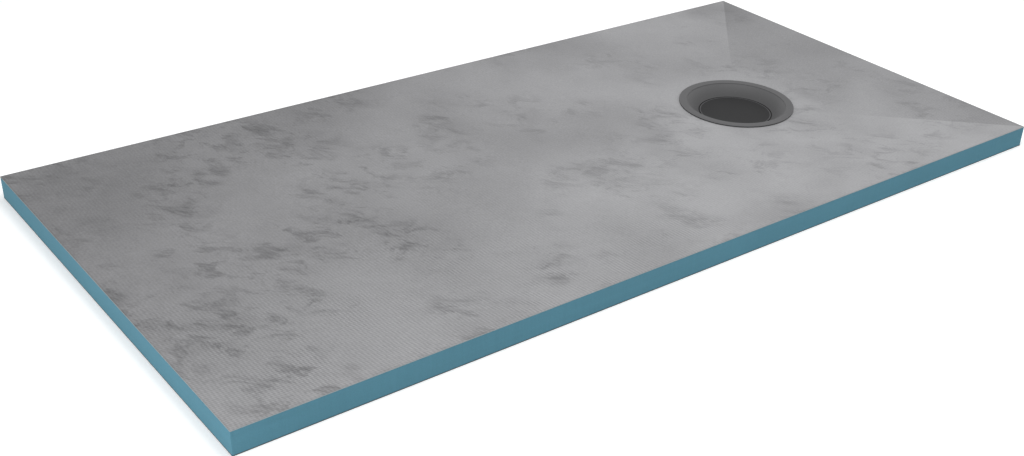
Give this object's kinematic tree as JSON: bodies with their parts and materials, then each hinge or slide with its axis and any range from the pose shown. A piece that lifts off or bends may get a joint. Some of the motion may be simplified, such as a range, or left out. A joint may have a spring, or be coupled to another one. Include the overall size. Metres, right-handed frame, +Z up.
{
  "type": "tileable shower tray",
  "caption": "Flat rectangular foam shower tray with cement-coated faces, falls to a round off-centre drain and a moulded drain flange, ready for tiling.",
  "frame": {"origin": "middle of the tray's outline, on its underside", "axes": "+X along the long side towards the end with the drain, +Y along the short side, +Z up through the thickness"},
  "size_m": [1.8, 0.9, 0.043],
  "materials": {
    "extruded_foam": "cut extruded foam, fine closed cells",
    "cement_coat": "thin trowelled cement over glass mesh, mottled",
    "cement_underside": "thin cement over glass mesh",
    "flange_plastic": "moulded, satin",
    "plate_plastic": "moulded, satin"
  },
  "bodies": {
    "root": {"foam_core": "extruded_foam", "top_coat": "cement_coat", "bottom_coat": "cement_underside", "drain_flange": "flange_plastic", "outlet_plate": "plate_plastic"}
  },
  "joints": []
}
